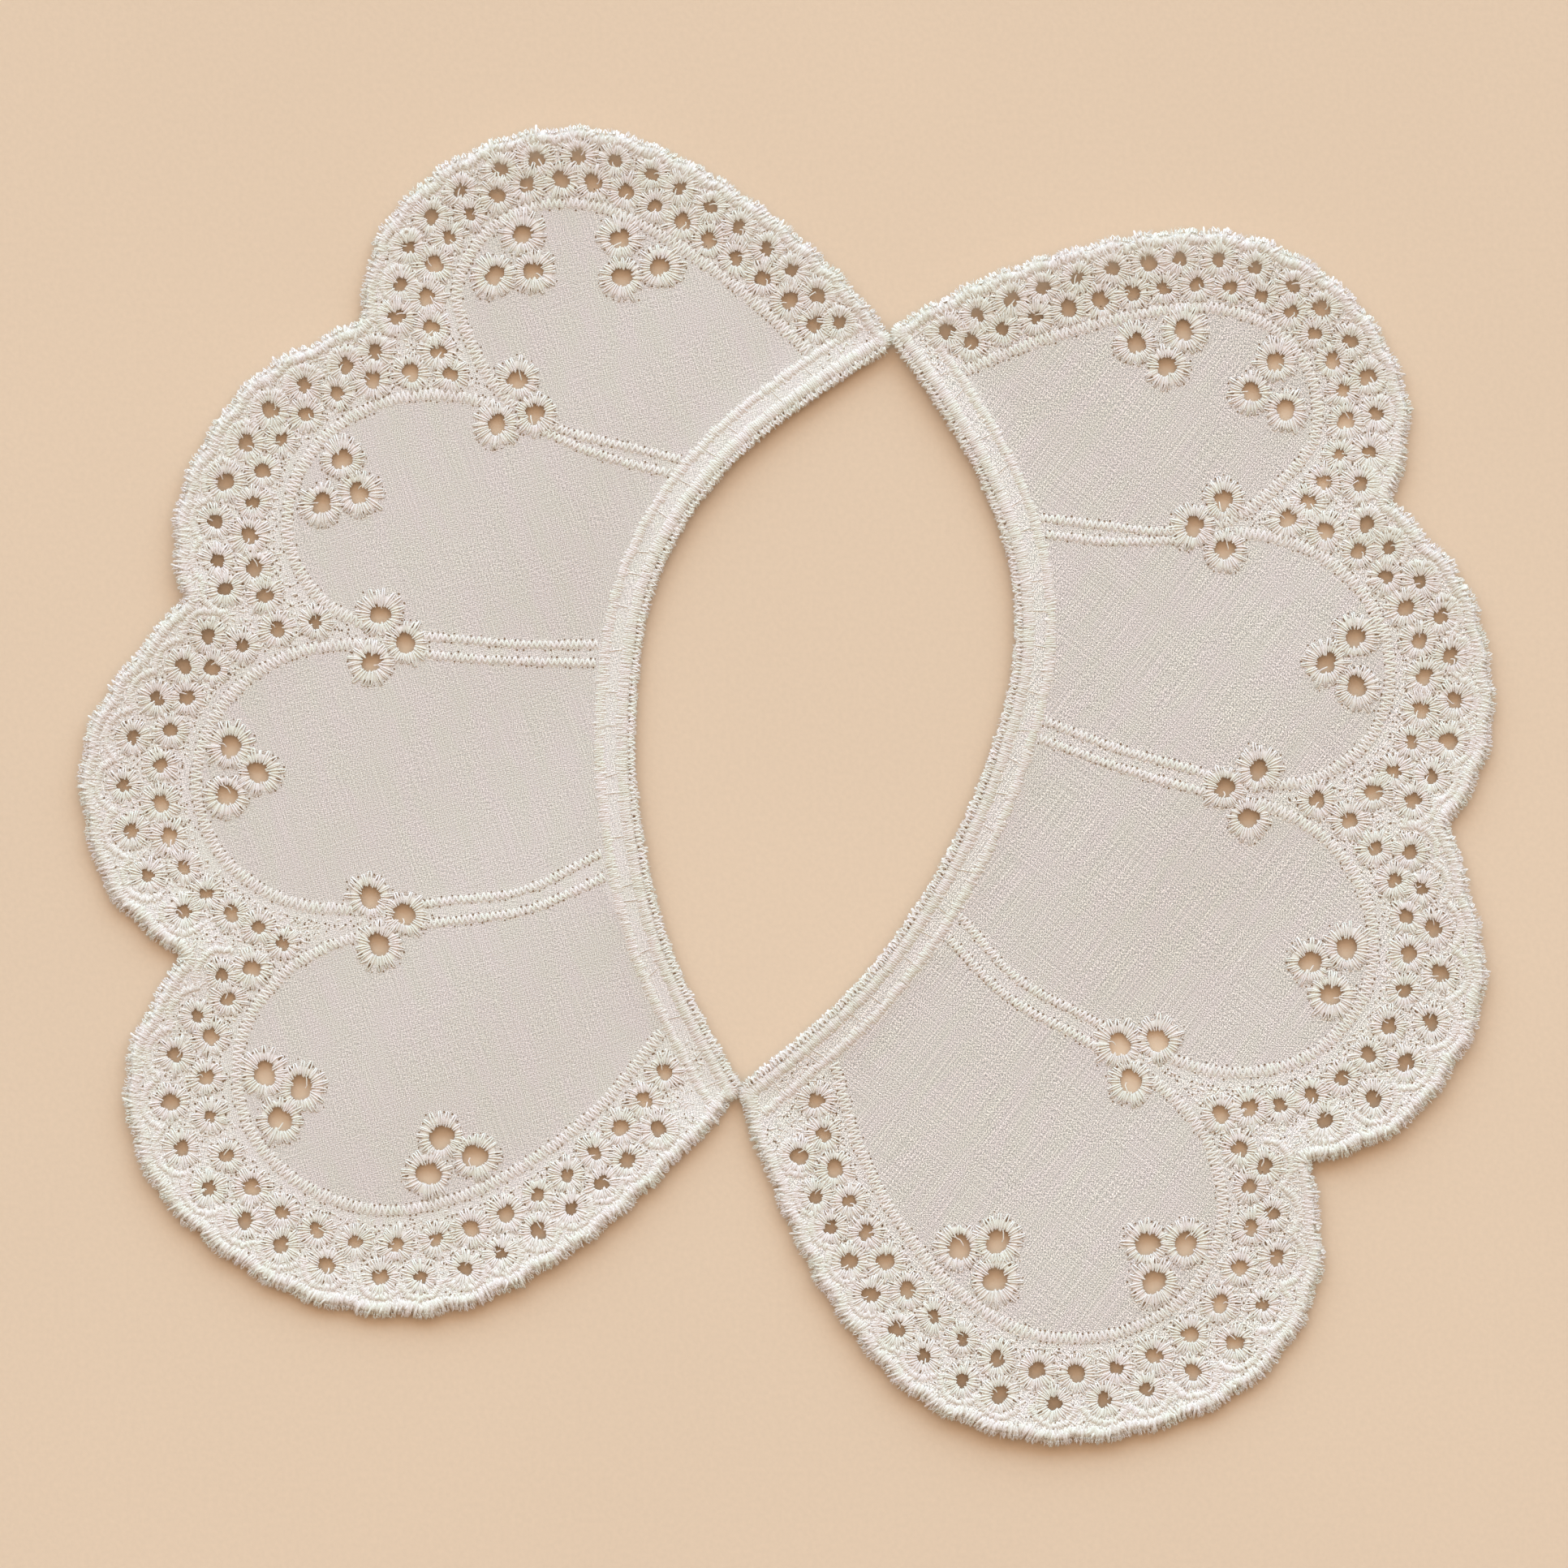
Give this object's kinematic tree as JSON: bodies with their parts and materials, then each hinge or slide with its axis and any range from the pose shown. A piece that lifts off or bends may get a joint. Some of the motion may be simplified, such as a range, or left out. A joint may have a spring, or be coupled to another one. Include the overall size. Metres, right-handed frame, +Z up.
{
  "type": "lace collar",
  "caption": "Detachable collar of eyelet embroidery in two mirrored halves, with scalloped petals, laid flat around an open neck.",
  "frame": {"origin": "under the middle of the collar's box, on the surface that it lies on", "axes": "+X to the viewer's right across both halves, +Y along the surface, away from the viewer, +Z up, out of the cloth's face"},
  "size_m": [0.3064, 0.285, 0.0022],
  "materials": {
    "cotton_lawn": "matt plain weave",
    "embroidery_thread": "soft mercerised cotton thread"
  },
  "bodies": {
    "root": {"left_panel": "cotton_lawn", "left_edge_cord": "embroidery_thread", "left_neck_cord": "embroidery_thread", "left_inner_neck_cord": "embroidery_thread", "left_petal_1_arch": "embroidery_thread", "left_petal_1_stem": "embroidery_thread", "left_petal_2_upper_stem": "embroidery_thread", "left_petal_2_arch": "embroidery_thread", "left_petal_2_lower_stem": "embroidery_thread", "left_petal_3_upper_stem": "embroidery_thread", "left_petal_3_arch": "embroidery_thread", "left_petal_3_lower_stem": "embroidery_thread", "left_petal_4_stem": "embroidery_thread", "left_petal_4_arch": "embroidery_thread", "right_panel": "cotton_lawn", "right_edge_cord": "embroidery_thread", "right_neck_cord": "embroidery_thread", "right_inner_neck_cord": "embroidery_thread", "right_petal_1_arch": "embroidery_thread", "right_petal_1_stem": "embroidery_thread", "right_petal_2_upper_stem": "embroidery_thread", "right_petal_2_arch": "embroidery_thread", "right_petal_2_lower_stem": "embroidery_thread", "right_petal_3_upper_stem": "embroidery_thread", "right_petal_3_arch": "embroidery_thread", "right_petal_3_lower_stem": "embroidery_thread", "right_petal_4_stem": "embroidery_thread", "right_petal_4_arch": "embroidery_thread"}
  },
  "joints": []
}
